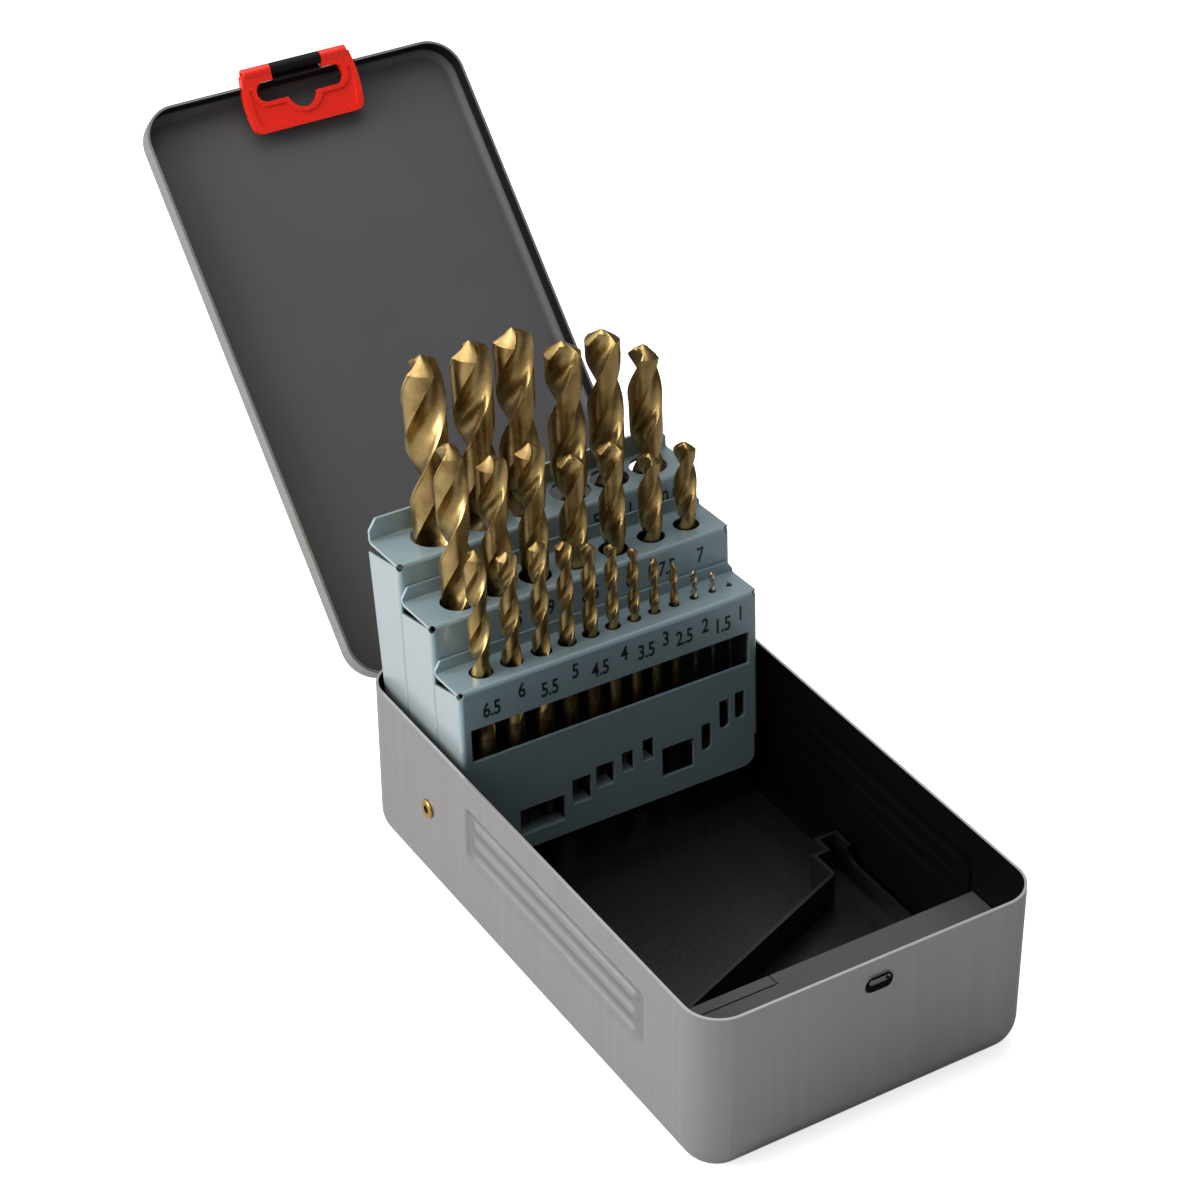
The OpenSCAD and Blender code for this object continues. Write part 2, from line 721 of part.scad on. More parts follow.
module rack_rear() {
    lip_y = rear_edge_top - 0.4;
    color(rack_blue) rack_pose() difference() {
        step_sheet(step_rear, rear_face_foot, rack_stop - rack_t, shelf_rear, lip_y,
            lip_rear, 3, rear_edge_top, rear_edge_low);
        for (i = [0:len(rear_d) - 1]) rear_axis(place(rear_x[i]))
            translate([0, 0, shelf_rear - rack_stop])
                cylinder(d = rear_d[i] + rear_slack, h = 6 * rack_t, center = true);
        open_face(step_rear, rear_face_foot);
        side_pair() translate([rack_half - 2 * rack_t, rear_edge_low, rack_stop - rack_t])
            rotate([90, 0, 90]) linear_extrude(3 * rack_t)
                polygon([[-4, -1], [1, -1], [1, 7], [0.1, 7]]);
    }
}

// Axis of a rear bit, from its foot
module rear_axis(x) {
    translate([x, rear_row_y, rack_stop]) rotate([-rear_tilt, 0, 0]) children();
}

// The pan that joins the steps: a floor under the two rear rows and an ear at each side
module rack_floor() {
    ear_half = rack_half - rack_t;
    front = step_middle + rack_t;
    back = floor_back;
    color(rack_blue) rack_pose() difference() {
        union() {
            translate([-ear_half, front, rack_stop - rack_t])
                cube([2 * ear_half, back - front, rack_t]);
            side_pair() translate([ear_half - rack_t, 0, 0]) rotate([90, 0, 90])
                linear_extrude(rack_t) {
                    translate([front, rack_stop - rack_t])
                        square([back - front, ear_top - rack_stop]);
                    translate([-13, -pivot_clear_r])
                        square([13 + front + 1, 2 * pivot_clear_r]);
                }
        }
        translate([-ear_half + 12, front - 1, rack_stop - rack_t - 1])
            cube([2 * ear_half - 24, 3, rack_t + 2]);
        pivot_cut(rivet_d / 2 + fit);
    }
}

// Flush rivets that join the ears to the flanges of the three steps
module rack_rivets() {
    dome_r = join_d * 2 / 3;
    color(rack_blue) rack_pose() side_pair() for (p = join_places)
        translate([rack_half - 2 * rack_t - join_rise, p[0], p[1]]) rotate([0, 90, 0])
            intersection() {
                cylinder(d = join_d, h = join_rise);
                translate([0, 0, dome_r - join_rise / 2]) sphere(r = dome_r);
            }
}

// Outline of the fluted section at an angle, as a share of the radius
function land(a) = let(c = abs(cos(a))) c > 0.8 ? 1 : c > 0.4 ? 0.66 : 0.3;

// One ring of the fluted body: twisted, blended to round at the shank, drawn in at the point
function ring(r, z, twist, blend, n) =
    [for (i = [0:n - 1])
        let(a = 360 * i / n, k = blend + (1 - blend) * land(a))
            [r * k * cos(a + twist), r * k * sin(a + twist), z]];

// Fluted part of a bit, from the shank up to the point
module fluted(d, l) {
    r = 0.98 * d / 2;
    n = 12;
    point_h = d / 2 / tan(point_angle / 2);
    lead = PI * d / tan(helix_angle);
    body = l - point_h;
    steps = max(10, min(22, ceil(body / lead * 14)));
    rings = concat(
        [ring(0.9 * r, -0.4, 0, 1, n)],
        [for (s = [0:steps])
            let(z = body * s / steps)
                ring(r, z, 360 * z / lead, z < d ? 1 - z / d : 0, n)],
        [ring(0.12 * r, l - 0.12 * point_h, 360 * l / lead, 0.5, n)]);
    count = len(rings);
    polyhedron(
        points = [for (one = rings) for (p = one) p],
        faces = concat(
            [[for (i = [0:n - 1]) i]],
            [for (s = [0:count - 2]) for (i = [0:n - 1])
                let(j = (i + 1) % n)
                    [s * n + i, (s + 1) * n + i, (s + 1) * n + j]],
            [for (s = [0:count - 2]) for (i = [0:n - 1])
                let(j = (i + 1) % n)
                    [s * n + i, (s + 1) * n + j, s * n + j]],
            [[for (i = [n - 1:-1:0]) (count - 1) * n + i]]),
        convexity = 10);
}

// A twist drill bit standing on its shank
module bit(d, l, flute) {
    shank = l - flute;
    edge = d / 12;
    color(gold) {
        cylinder(d1 = d - 2 * edge, d2 = d, h = edge);
        translate([0, 0, edge]) cylinder(d = d, h = shank - edge);
        translate([0, 0, shank]) fluted(d, flute);
    }
}

module front_bit(i) {
    rack_pose() translate([place(front_x[i]), front_row_y, front_stop[i] + seat_gap])
        bit(front_d[i], front_len[i], front_flute[i]);
}

module middle_bit(i) {
    rack_pose() translate([place(middle_x[i]), middle_row_y, rack_stop + seat_gap])
        bit(middle_d[i], middle_len[i], middle_flute[i]);
}

module rear_bit(i) {
    lift = rear_d[i] / 2 * sin(rear_tilt) + seat_gap;
    rack_pose() rear_axis(place(rear_x[i])) translate([0, 0, lift])
        bit(rear_d[i], rear_len[i], rear_flute[i]);
}

base_shell();
base_liner();
lid_shell();
hinge_pin();
latch();
latch_pin();
pivot_rivet();  // pivot_rivet_right
mirror([1, 0, 0]) pivot_rivet();  // pivot_rivet_left
pivot_spacer();  // pivot_spacer_right
mirror([1, 0, 0]) pivot_spacer();  // pivot_spacer_left
rack_front();
rack_middle();
rack_rear();
rack_floor();
rack_rivets();
front_bit(0);  // bit_6_5
front_bit(1);  // bit_6_0
front_bit(2);  // bit_5_5
front_bit(3);  // bit_5_0
front_bit(4);  // bit_4_5
front_bit(5);  // bit_4_0
front_bit(6);  // bit_3_5
front_bit(7);  // bit_3_0
front_bit(8);  // bit_2_5
front_bit(9);  // bit_2_0
front_bit(10);  // bit_1_5
front_bit(11);  // bit_1_0
middle_bit(0);  // bit_10_0
middle_bit(1);  // bit_9_5
middle_bit(2);  // bit_9_0
middle_bit(3);  // bit_8_5
middle_bit(4);  // bit_8_0
middle_bit(5);  // bit_7_5
middle_bit(6);  // bit_7_0
rear_bit(0);  // bit_13_0
rear_bit(1);  // bit_12_5
rear_bit(2);  // bit_12_0
rear_bit(3);  // bit_11_5
rear_bit(4);  // bit_11_0
rear_bit(5);  // bit_10_5
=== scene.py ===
"""Drill bit case: pressed steel case with a hinged lid, a folding rack and twist drill bits."""

import math

import bmesh
import bpy
from mathutils import Matrix, Vector


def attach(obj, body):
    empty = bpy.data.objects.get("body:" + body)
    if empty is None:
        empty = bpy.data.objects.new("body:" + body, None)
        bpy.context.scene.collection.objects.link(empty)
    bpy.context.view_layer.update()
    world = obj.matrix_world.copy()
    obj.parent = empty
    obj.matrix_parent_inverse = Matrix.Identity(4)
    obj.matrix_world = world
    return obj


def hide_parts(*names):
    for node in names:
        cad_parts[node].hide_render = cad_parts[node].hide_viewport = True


bl_info = {
    "name": "Drill Bit Case",
    "version": (1, 0, 0),
    "blender": (4, 5, 0),
    "location": "View3D > Sidebar > Bit Case",
    "description": "Finishes, size numbers, drill bits and studio for a metal drill bit case",
    "category": "Object",
}

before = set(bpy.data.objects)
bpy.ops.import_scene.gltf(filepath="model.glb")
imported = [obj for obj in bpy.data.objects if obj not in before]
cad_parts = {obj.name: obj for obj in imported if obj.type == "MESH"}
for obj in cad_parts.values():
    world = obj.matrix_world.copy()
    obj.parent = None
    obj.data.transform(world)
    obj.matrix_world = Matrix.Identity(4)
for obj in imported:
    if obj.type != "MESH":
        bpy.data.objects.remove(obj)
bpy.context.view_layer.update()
MM = 0.001

# The case, in millimetres
HALF_W = 55.0
HALF_L = 94.25
BASE_H = 56.7
HINGE_Y = 93.85
HINGE_Z = 54.4
LID_OPEN = 135.0
RIM_GAP = 0.3
LID_H = 8.5

# The rack's pivot and lean
PIVOT_Y = 55.6
PIVOT_Z = 31.0
RACK_LEAN = 3.0

# The rack's half width, and each step's face and shelf from the pivot
RACK_HALF = 51.0
STEPS_AT = ((-16.65, 47.2), (-1.9, 62.2), (16.0, 73.9))

# Bits: size, length, flute length, place along the shelf, height of the stop
FRONT_BITS = (
    (6.5, 101, 63, -39.5, -13.0), (6.0, 93, 57, -29.3, -9.0), (5.5, 93, 57, -19.3, -9.0),
    (5.0, 86, 52, -10.6, -4.8), (4.5, 80, 47, -2.6, -2.2), (4.0, 75, 43, 5.0, 0.0),
    (3.5, 70, 39, 12.4, 1.2), (3.0, 61, 33, 19.4, 4.4), (2.5, 57, 30, 26.3, 4.4),
    (2.0, 49, 24, 33.3, 7.6), (1.5, 40, 18, 39.7, 13.8), (1.0, 34, 12, 45.8, 14.8),
)
MIDDLE_BITS = (
    (10.0, 133, 87, -37.1), (9.5, 125, 81, -24.0), (9.0, 125, 81, -11.3), (8.5, 117, 75, 2.2),
    (8.0, 117, 75, 15.6), (7.5, 109, 69, 28.7), (7.0, 109, 69, 41.1),
)
REAR_BITS = (
    (13.0, 151, 101, -33.6), (12.5, 151, 101, -17.8), (12.0, 151, 101, -3.6),
    (11.5, 142, 94, 12.6), (11.0, 142, 94, 26.2), (10.5, 133, 87, 40.0),
)
FRONT_ROW_Y = -9.2
MIDDLE_ROW_Y = 6.8
REAR_ROW_Y = 23.5
REAR_TILT = 1.5
RACK_STOP = -18.7
SEAT_GAP = 0.05

# Section of a bit, as shares of its radius and degrees from the margin's edge: the margin,
# the cleared land and its heel, and the circle of the scooped flute
MARGIN_AT = (0.0, 3.5, 7.0)
LAND_START = 8.5
LAND_STEPS = 8
LAND_REACH = 0.965
HEEL = 76.0
SCOOP_OFFSET = 1.2
SCOOP_R = 0.91

# Along a bit, in degrees and shares of its diameter: helix, half point, flute's run-out,
# the point's relief and how far below the point it starts, and the shank's chamfer
HELIX = 30.0
HALF_POINT = 59.0
RUN_OUT = 1.1
RELIEF = 0.07
RELIEF_START = 0.5
CHAMFER = 1 / 6

# Rings of a bit: for each turn of the helix, their fewest and most, and those of the point
RINGS_A_TURN = 32
FEWEST_RINGS = 20
MOST_RINGS = 80
POINT_RINGS = (0.75, 0.5, 0.3, 0.18, 0.06)

# The grip panel pressed in each side wall: its middle, half length, half height, corner,
# depth, width of its sloping edge, the ribs' pitch, height and end, the fade at its foot
# and the flat frame that joins it to the wall
GRIP_Y = -15.5
GRIP_Z = 36.0
GRIP_HALF_L = 48.5
GRIP_HALF_H = 10.8
GRIP_CORNER = 3.0
GRIP_DEPTH = 0.6
GRIP_EDGE = 1.6
GRIP_PITCH = 6.2
RIB_HEIGHT = 0.8
GRIP_RIB_END = 3.0
GRIP_FADE = 6.0
GRIP_FRAME = 0.4

# Painted shade, in black, on the case: the catch's mouth, the inside of the base's straight
# walls and the lid's rim about its tab
MOUTH_HALF_W = 3.6
MOUTH_Y = (-96.5, -90)
MOUTH_Z = (48.35, 50.85)
INSIDE_HALF_W = HALF_W - 0.75
INSIDE_Y = (-80, 80)
INSIDE_Z = 10
TAB_HALF_W = 20
TAB_Y = -92.9
TAB_Z = 62.0

# The strips that close the lid's rim beside the barrel: their middle and size
LIP_AT = (11.6, -93.75, 58.75)
LIP_SIZE = (6.0, 0.5, 3.4)

# The liner's ledge behind the front wall, lightened to grey by a painted reflection: its foot
# and how far back it goes
LEDGE_Z = 33.5
LEDGE_Y = -60

# Numbers printed on the steps: text, place along the face, height
FRONT_NUMBERS = (
    ("6.5", -40.6, 39.2), ("6", -30.5, 41.8), ("5.5", -21.2, 39.2), ("5", -12.5, 41.9),
    ("4.5", -4.0, 39.7), ("4", 4.2, 41.9), ("3.5", 11.8, 40.2), ("3", 18.6, 41.9),
    ("2.5", 25.1, 40.2), ("2", 32.4, 41.6), ("1.5", 38.5, 39.7), ("1", 44.9, 41.6),
)
MIDDLE_NUMBERS = (
    ("10", -37.1, 55.6), ("9.5", -24.0, 55.6), ("9", -11.3, 55.8), ("8.5", 2.2, 55.6),
    ("8", 15.6, 55.8), ("7.5", 28.7, 55.7), ("7", 40.4, 56.1),
)
REAR_NUMBERS = (
    ("13", -33.6, 67.4), ("12.5", -17.8, 67.4), ("12", -3.6, 67.4), ("11.5", 12.6, 67.4),
    ("11", 26.2, 67.4), ("10.5", 40.2, 67.5),
)

# Printed numbers: height of a capital for a size of 1, width, weight, film, space and the
# film's distance from the face in millimetres
CAPITAL = 0.7
NUMBER_WIDTH = 0.74
NUMBER_WEIGHT = 0.00012
NUMBER_FILM = 0.00003
NUMBER_SPACE = 0.98
INK_GAP = 0.02

# From the case towards the window side of the studio, with the world's dimmest and the range
# of directions over which it brightens
WINDOW_WAY = (-0.8, 0.38, 0.46)
ROOM_LIGHT = 0.1
WINDOW_EDGES = (-0.3, 0.8)

# Lamps: name, place, aim, size, watts
LAMPS = (
    ("Left Window", (-1.0, 0.3, 0.6), (0.0, 0.0, 0.1), 0.8, 18.0),
    ("Top Light", (0.0, 0.3, 1.3), (0.0, 0.05, 0.1), 0.9, 7.0),
)

# Camera: place in metres; azimuth, elevation and roll in degrees; lens and sensor
CAMERA_AT = (-0.4116, -0.6300, 0.6252)
CAMERA_TURN = (-31.27, 34.01, -0.32)
LENS = 98.8
SENSOR = 36.0


# Places

def lid_place():
    """From the shut lid to the open one."""
    axis = Matrix.Translation((0, HINGE_Y * MM, HINGE_Z * MM))
    return axis @ Matrix.Rotation(math.radians(-LID_OPEN), 4, "X") @ axis.inverted()


def rack_place():
    """From the rack's own upright frame to where it stands."""
    pivot = Matrix.Translation((0, PIVOT_Y * MM, PIVOT_Z * MM))
    return pivot @ Matrix.Rotation(math.radians(-RACK_LEAN), 4, "X")


def at(x, y, z):
    """A move in millimetres."""
    return Matrix.Translation((x * MM, y * MM, z * MM))


# Materials

def linear(hex_colour):
    """An sRGB hex value as linear red, green, blue and alpha."""
    parts = [int(hex_colour[i:i + 2], 16) / 255 for i in (1, 3, 5)]
    return tuple(c / 12.92 if c < 0.04045 else ((c + 0.055) / 1.055) ** 2.4
                 for c in parts) + (1.0,)


def add_node(tree, kind, settings=None, **inputs):
    """One shader node with its settings; an input is a value or another node's output."""
    node = tree.nodes.new(kind)
    for name, value in (settings or {}).items():
        setattr(node, name, value)
    for key, value in inputs.items():
        socket = node.inputs[int(key[1:])] if key[0] == "_" else node.inputs[key.replace("_", " ")]
        if isinstance(value, bpy.types.NodeSocket):
            tree.links.new(value, socket)
        else:
            socket.default_value = value
    return node


def new_material(name):
    """A material with its shader and object coordinates."""
    material = bpy.data.materials.new(name)
    material.use_nodes = True
    tree = material.node_tree
    shader = tree.nodes["Principled BSDF"]
    place = tree.nodes.new("ShaderNodeTexCoord")
    return material, tree, shader, place


def mix(tree, factor, low, high):
    """A colour between two others."""
    node = add_node(tree, "ShaderNodeMix", {"data_type": "RGBA"}, _0=factor, _6=low, _7=high)
    return node.outputs[2]


def spread(tree, value, low, high, to_low, to_high):
    """A value's range stretched to another."""
    return add_node(tree, "ShaderNodeMapRange", None, _0=value, _1=low, _2=high,
                    _3=to_low, _4=to_high).outputs[0]


def noise(tree, place, scale, detail, stretch=(1, 1, 1)):
    """Noise whose grain is 1 / scale metres."""
    where = add_node(tree, "ShaderNodeMapping", {}, _0=place, _3=stretch).outputs[0]
    return add_node(tree, "ShaderNodeTexNoise", {}, Vector=where, Scale=scale,
                    Detail=detail, Roughness=0.6).outputs[0]


def bump(tree, shader, height, depth_mm):
    """Relief of a real depth."""
    node = add_node(tree, "ShaderNodeBump", {}, Strength=1.0, Distance=depth_mm * MM,
                    Height=height)
    tree.links.new(node.outputs[0], shader.inputs["Normal"])


def maths(tree, operation, first, second=0.0):
    """One step of shader arithmetic."""
    return add_node(tree, "ShaderNodeMath", {"operation": operation},
                    _0=first, _1=second).outputs[0]


def product(tree, *values):
    """Shader values multiplied."""
    total = values[0]
    for value in values[1:]:
        total = maths(tree, "MULTIPLY", total, value)
    return total


def above(tree, value, limit):
    """1 where a value in metres is over a limit in millimetres."""
    return spread(tree, value, (limit - 0.05) * MM, (limit + 0.05) * MM, 0.0, 1.0)


def beside(tree, value, limit):
    """1 where a value in metres is under a limit in millimetres."""
    return spread(tree, value, (limit - 0.05) * MM, (limit + 0.05) * MM, 1.0, 0.0)


def window(tree, value, low, high, soft):
    """1 between two limits in millimetres, with soft ends."""
    return product(tree, spread(tree, value, (low - soft) * MM, (low + soft) * MM, 0.0, 1.0),
                   spread(tree, value, (high - soft) * MM, (high + soft) * MM, 1.0, 0.0))


def drawn_place(tree, place, home):
    """Where a point was drawn: as a whole, its y, its z and its distance to the side."""
    local = add_node(tree, "ShaderNodeMapping", {}, _0=place.outputs["Object"],
                     _1=home.translation, _2=home.to_euler()).outputs[0]
    x, y, z = add_node(tree, "ShaderNodeSeparateXYZ", None, _0=local).outputs
    return local, y, z, maths(tree, "ABSOLUTE", x)


def facing(tree, place):
    """A surface's direction as x, y and z."""
    return add_node(tree, "ShaderNodeSeparateXYZ", None, _0=place.outputs["Normal"]).outputs


def outward(tree, place, centre):
    """1 on a shell's outer faces and 0 on its inner ones, for a shell round a centre."""
    arm = add_node(tree, "ShaderNodeVectorMath", {"operation": "SUBTRACT"},
                   _0=place.outputs["Object"], _1=centre).outputs[0]
    side = add_node(tree, "ShaderNodeVectorMath", {"operation": "DOT_PRODUCT"},
                    _0=place.outputs["Normal"], _1=arm).outputs["Value"]
    return spread(tree, side, -0.0005, 0.0005, 0.0, 1.0)


def grip_relief(tree, y, z):
    """Height of the pressed grip panel: 0 on the wall, down to -1 in its grooves."""
    soft = GRIP_EDGE / 2
    foot, head = GRIP_Z - GRIP_HALF_H, GRIP_Z + GRIP_HALF_H
    panel = product(tree, window(tree, y, GRIP_Y - GRIP_HALF_L + soft,
                                 GRIP_Y + GRIP_HALF_L - soft, soft),
                    spread(tree, z, foot * MM, (foot + GRIP_FADE) * MM, 0.0, 1.0),
                    spread(tree, z, (head - GRIP_EDGE) * MM, head * MM, 1.0, 0.0))
    end = GRIP_HALF_L - 1.5 * GRIP_RIB_END
    ribbed = window(tree, y, GRIP_Y - end, GRIP_Y + end, GRIP_RIB_END / 2)
    phase = spread(tree, z, GRIP_Z * MM, (GRIP_Z + GRIP_PITCH) * MM, 0.0, 2 * math.pi)
    phase.node.clamp = False
    wave = maths(tree, "COSINE", phase)
    rib = product(tree, spread(tree, wave, -1.0, 1.0, 0.0, RIB_HEIGHT), ribbed)
    return product(tree, maths(tree, "SUBTRACT", rib, 1.0), panel)


def base_shadow(tree, y, z, aside):
    """1 in the catch's mouth and on the inside of the base's straight walls."""
    mouth = product(tree, window(tree, z, *MOUTH_Z, 0.1), beside(tree, aside, MOUTH_HALF_W),
                    window(tree, y, *MOUTH_Y, 0.1))
    inside = product(tree, above(tree, z, INSIDE_Z), beside(tree, aside, INSIDE_HALF_W),
                     window(tree, y, *INSIDE_Y, 0.1))
    return maths(tree, "MAXIMUM", mouth, inside)


def lid_shadow(tree, y, z, aside):
    """1 on the lid's rim about its tab."""
    return product(tree, beside(tree, aside, TAB_HALF_W), beside(tree, y, TAB_Y),
                   beside(tree, z, TAB_Z))


def pressed_paint(tree, metal, height, y, z, aside):
    """Base paint with painted shade in the grips, a painted highlight on the rim, and the relief.
    """
    relief = product(tree, grip_relief(tree, y, z), above(tree, aside, HALF_W - 1.5))
    # Painted shade: the grips' recess and grooves are darkened towards a darker grey
    metal = mix(tree, spread(tree, relief, -1.0, 0.0, 0.4, 0.0), metal, linear("#6a6969"))
    # Painted highlight: a pale line along the top edge of the base's rim
    rim = spread(tree, z, (BASE_H - 0.3) * MM, (BASE_H - 0.15) * MM, 0.0, 0.6)
    height = maths(tree, "ADD", height, product(tree, relief, 0.5))
    return mix(tree, rim, metal, linear("#d2d2d2")), height


def sheet_steel(name, home, centre, outside, inside, wall_top, base=False):
    """Case sheet: metallic paint outside, faintly streaked where it was brushed, dark inside.

    home brings the piece back to where it was drawn, streaks run along Z there, and the
    inside is black as far up as wall_top. base adds the grips, with painted shade in their
    grooves, and a painted highlight along the rim of the base.
    """
    material, tree, shader, place = new_material(name)
    local, y, z, aside = drawn_place(tree, place, home)
    behind_tab = spread(tree, y, -(HALF_L + 0.5) * MM, -(HALF_L + 0.2) * MM, 0.0, 1.0)
    shadow = (base_shadow if base else lid_shadow)(tree, y, z, aside)
    out = product(tree, outward(tree, place, centre), behind_tab,
                  maths(tree, "SUBTRACT", 1.0, shadow))
    streaks = noise(tree, local, 420, 3, (1, 1, 0.02))
    cloud = noise(tree, local, 22, 2)
    tone = spread(tree, streaks, 0.25, 0.75, 0.0, 1.0)
    metal = mix(tree, tone, linear(outside[0]), linear(outside[1]))
    height = product(tree, streaks, 0.0015)
    if base:
        metal, height = pressed_paint(tree, metal, height, y, z, aside)
    wall = spread(tree, z, (wall_top - 0.6) * MM, (wall_top + 0.2) * MM, 0.0, 1.0)
    panel = mix(tree, cloud, linear(inside[1]), linear(inside[2]))
    dark = mix(tree, wall, linear(inside[0]), panel)
    sheen = 0.04 if base else 0.2
    tree.links.new(mix(tree, out, dark, metal), shader.inputs["Base Color"])
    tree.links.new(product(tree, out, 0.8), shader.inputs["Metallic"])
    tree.links.new(spread(tree, out, 0.0, 1.0, 0.55, 0.32), shader.inputs["Roughness"])
    tree.links.new(spread(tree, out, 0.0, 1.0, sheen, 0.5), shader.inputs["Specular IOR Level"])
    bump(tree, shader, height, 1.0)
    return material


def under_steps(tree, y, z, aside):
    """Depth of shade on the rack's inside, growing away from the front face."""
    under = beside(tree, z, STEPS_AT[0][1] - 0.5)
    for face_y, shelf_z in STEPS_AT[1:]:
        step = product(tree, above(tree, y, face_y + 0.5), beside(tree, z, shelf_z - 0.5))
        under = maths(tree, "MAXIMUM", under, step)
    front = STEPS_AT[0][0]
    depth = spread(tree, y, (front + 1) * MM, (front + 6) * MM, 0.0, 0.92)
    return product(tree, under, depth, beside(tree, aside, RACK_HALF - 0.5))


def rack_paint(colours):
    """Blue-grey enamel on pressed steel with a faint orange peel, and painted shade under the
    steps.

    The flanges facing the window side carry a painted reflection, paler than the faces.
    """
    material, tree, shader, place = new_material("Blue Grey Enamel")
    _, y, z, aside = drawn_place(tree, place, rack_place().inverted())
    shade = under_steps(tree, y, z, aside)
    cloud = noise(tree, place.outputs["Object"], 60, 3)
    peel = noise(tree, place.outputs["Object"], 1400, 2)
    # Painted reflection: faces turned to the window side are mixed towards a pale grey
    left = spread(tree, facing(tree, place)[0], -0.95, -0.8, 1.0, 0.0)
    enamel = mix(tree, cloud, linear(colours[0]), linear(colours[1]))
    enamel = mix(tree, left, enamel, linear("#8a9395"))
    tree.links.new(mix(tree, shade, enamel, linear("#0c0e10")), shader.inputs["Base Color"])
    tree.links.new(spread(tree, cloud, 0.3, 0.7, 0.32, 0.42), shader.inputs["Roughness"])
    shader.inputs["Metallic"].default_value = 0.2
    shader.inputs["Coat Weight"].default_value = 0.6
    shader.inputs["Coat Roughness"].default_value = 0.12
    bump(tree, shader, peel, 0.008)
    return material


def liner_plastic():
    """Black moulding, with a painted reflection lightening the ledge behind the front wall to
    grey.
    """
    material = plain("Moulded Polystyrene", "#0a0a0b", "#111112", 0.32, 0.0, 1500, 0.03)
    tree = material.node_tree
    shader = tree.nodes["Principled BSDF"]
    place = tree.nodes.new("ShaderNodeTexCoord")
    _, y, z = add_node(tree, "ShaderNodeSeparateXYZ", None, _0=place.outputs["Object"]).outputs
    black = shader.inputs["Base Color"].links[0].from_socket
    # Painted reflection: the ledge's upward faces are lightened towards grey
    ledge = product(tree, above(tree, z, LEDGE_Z), beside(tree, y, LEDGE_Y),
                    spread(tree, facing(tree, place)[2], 0.6, 0.9, 0.0, 1.0))
    tree.links.new(mix(tree, product(tree, ledge, 0.8), black, linear("#434344")),
                   shader.inputs["Base Color"])
    return material


def plain(name, low, high, roughness, metallic=0.0, grain=700, depth=0.01):
    """A finish with two close tones and a fine surface."""
    material, tree, shader, place = new_material(name)
    cloud = noise(tree, place.outputs["Object"], 90, 3)
    fine = noise(tree, place.outputs["Object"], grain, 2)
    tree.links.new(mix(tree, cloud, linear(low), linear(high)), shader.inputs["Base Color"])
    tree.links.new(spread(tree, fine, 0.3, 0.7, roughness - 0.06, roughness + 0.06),
                   shader.inputs["Roughness"])
    shader.inputs["Metallic"].default_value = metallic
    bump(tree, shader, fine, depth)
    return material


def bit_finish(name, low, high, shank, shank_end, roughness):
    """Titanium nitride on ground steel, with its shank end darker."""
    material, tree, shader, place = new_material(name)
    along = add_node(tree, "ShaderNodeUVMap", {"uv_map": "along"}).outputs[0]
    height = add_node(tree, "ShaderNodeSeparateXYZ", None, _0=along).outputs[1]
    rings = noise(tree, place.outputs["Object"], 900, 2)
    cloud = noise(tree, place.outputs["Object"], 120, 3)
    coat = mix(tree, spread(tree, cloud, 0.35, 0.65, 0.0, 1.0), linear(low), linear(high))
    fade = spread(tree, height, shank_end - 0.03, shank_end + 0.03, 0.0, 1.0)
    tree.links.new(mix(tree, fade, linear(shank), coat), shader.inputs["Base Color"])
    tree.links.new(spread(tree, rings, 0.3, 0.7, roughness - 0.05, roughness + 0.08),
                   shader.inputs["Roughness"])
    shader.inputs["Metallic"].default_value = 1.0
    bump(tree, shader, rings, 0.004)
    return material


# Meshes

def finish_mesh(bm, name, place, material, smooth=True, turn_out=True):
    """Puts a bmesh where it belongs and makes it a piece.

    turn_out merges its doubles and points its faces outwards.
    """
    bmesh.ops.transform(bm, matrix=place, verts=bm.verts)
    if turn_out:
        bmesh.ops.remove_doubles(bm, verts=bm.verts, dist=1e-7)
        bmesh.ops.recalc_face_normals(bm, faces=bm.faces)
    for face in bm.faces:
        face.smooth = face.smooth or smooth
    mesh = bpy.data.meshes.new(name)
    bm.to_mesh(mesh)
    bm.free()
    mesh.materials.append(material)
    piece = bpy.data.objects.new(name, mesh)
    bpy.context.scene.collection.objects.link(piece)
    return piece


def sharpen(piece, degrees):
    """Keeps edges over an angle crisp on a smooth mesh."""
    piece.data.set_sharp_from_angle(angle=math.radians(degrees))


def ease(share):
    """0 to 1 with soft ends."""
    share = max(0.0, min(1.0, share))
    return share * share * (3 - 2 * share)


def grip_depth(along, up):
    """Depth of the grip panel at a place from its middle, in millimetres."""
    over = (max(abs(along) - GRIP_HALF_L + GRIP_CORNER, 0.0),
            max(abs(up) - GRIP_HALF_H + GRIP_CORNER, 0.0))
    inside = GRIP_CORNER - math.hypot(*over)
    rib = RIB_HEIGHT * (0.5 + 0.5 * math.cos(2 * math.pi * up / GRIP_PITCH))
    rib *= ease((inside - GRIP_EDGE) / GRIP_EDGE)
    rib *= ease((GRIP_HALF_L - GRIP_RIB_END - abs(along)) / GRIP_RIB_END)
    fade = ease((up + GRIP_HALF_H) / GRIP_FADE)
    return GRIP_DEPTH * ease(inside / GRIP_EDGE) * fade * (1 - rib)


def clear_grip_places(bm):
    """Cuts the outer side walls round the grips and takes out what lies inside the cuts."""
    reach = {1: (GRIP_Y, GRIP_HALF_L + GRIP_FRAME), 2: (GRIP_Z, GRIP_HALF_H + GRIP_FRAME)}
    for axis, (middle, half) in reach.items():
        normal = Vector([1.0 if i == axis else 0.0 for i in range(3)])
        for limit in (middle - half, middle + half):
            bmesh.ops.bisect_plane(bm, geom=bm.verts[:] + bm.edges[:] + bm.faces[:], dist=1e-7,
                                   plane_co=normal * limit * MM, plane_no=normal)
    cleared = []
    for face in bm.faces:
        spot = face.calc_center_median() / MM
        if abs(spot.x) > HALF_W - GRIP_DEPTH - 0.1 and all(
                abs(spot[axis] - middle) < half for axis, (middle, half) in reach.items()):
            cleared.append(face)
    bmesh.ops.delete(bm, geom=cleared, context="FACES")


